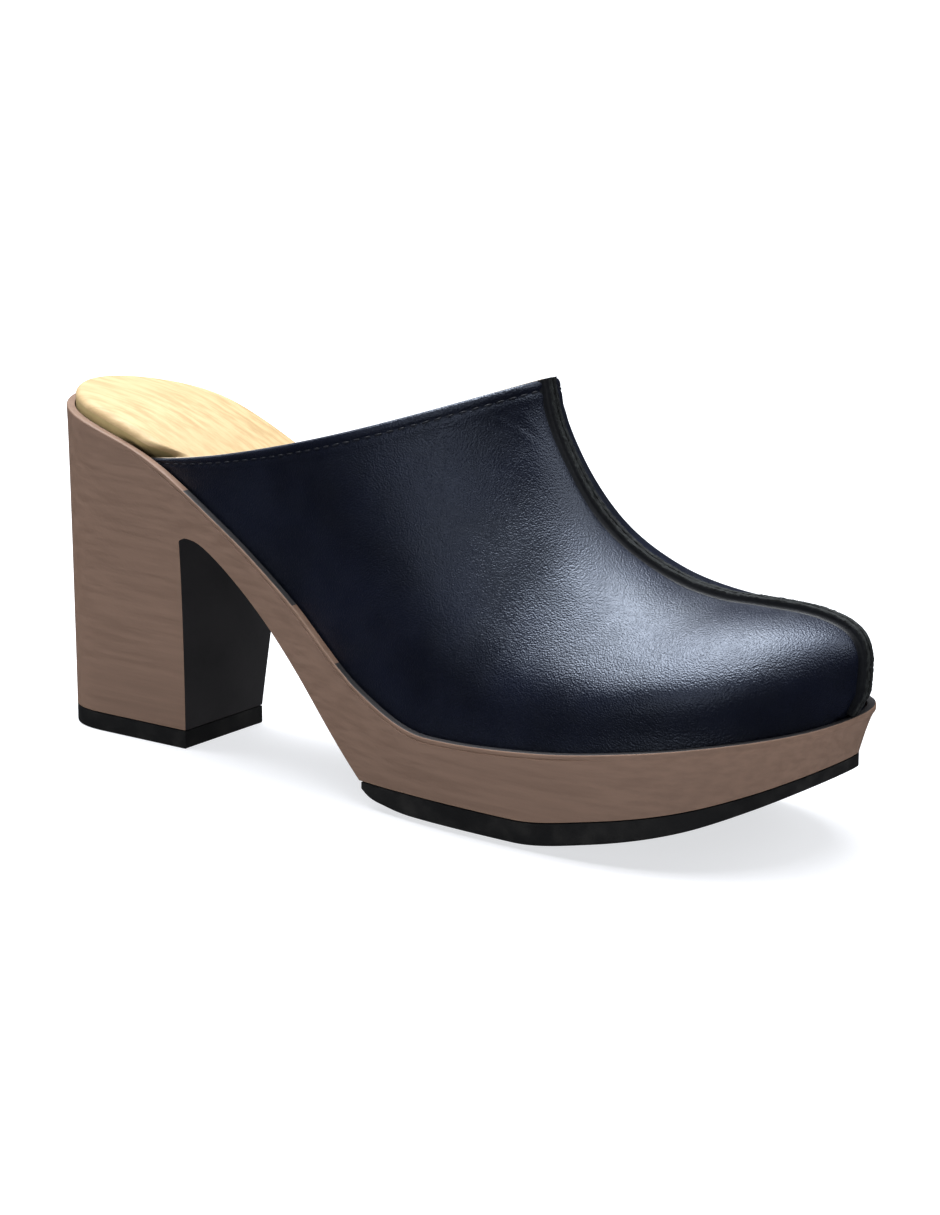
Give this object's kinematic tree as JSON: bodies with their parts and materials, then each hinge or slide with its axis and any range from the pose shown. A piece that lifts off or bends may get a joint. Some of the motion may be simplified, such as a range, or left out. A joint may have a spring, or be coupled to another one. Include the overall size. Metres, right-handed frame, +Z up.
{
  "type": "clog",
  "caption": "High-heeled platform clog for the right foot, with a closed leather toe, raised centre seam and open back.",
  "frame": {"origin": "on the ground under the middle of the shoe's bounding box", "axes": "+X from heel to toe, +Y to the wearer's left, which is the medial side of this right shoe, +Z up"},
  "size_m": [0.2434, 0.0822, 0.1092],
  "materials": {
    "sole_unit": "moulded foam with wood-look brown painted sides and a black underside, matt",
    "rubber": "black moulded rubber with a fine tread",
    "insole": "undyed tan leather over foam, soft matt",
    "leather": "dark navy full-grain leather, satin"
  },
  "bodies": {
    "root": {"sole_unit": "sole_unit", "outsole_forefoot": "rubber", "heel_top_piece": "rubber", "insole": "insole", "upper": "leather"}
  },
  "joints": []
}
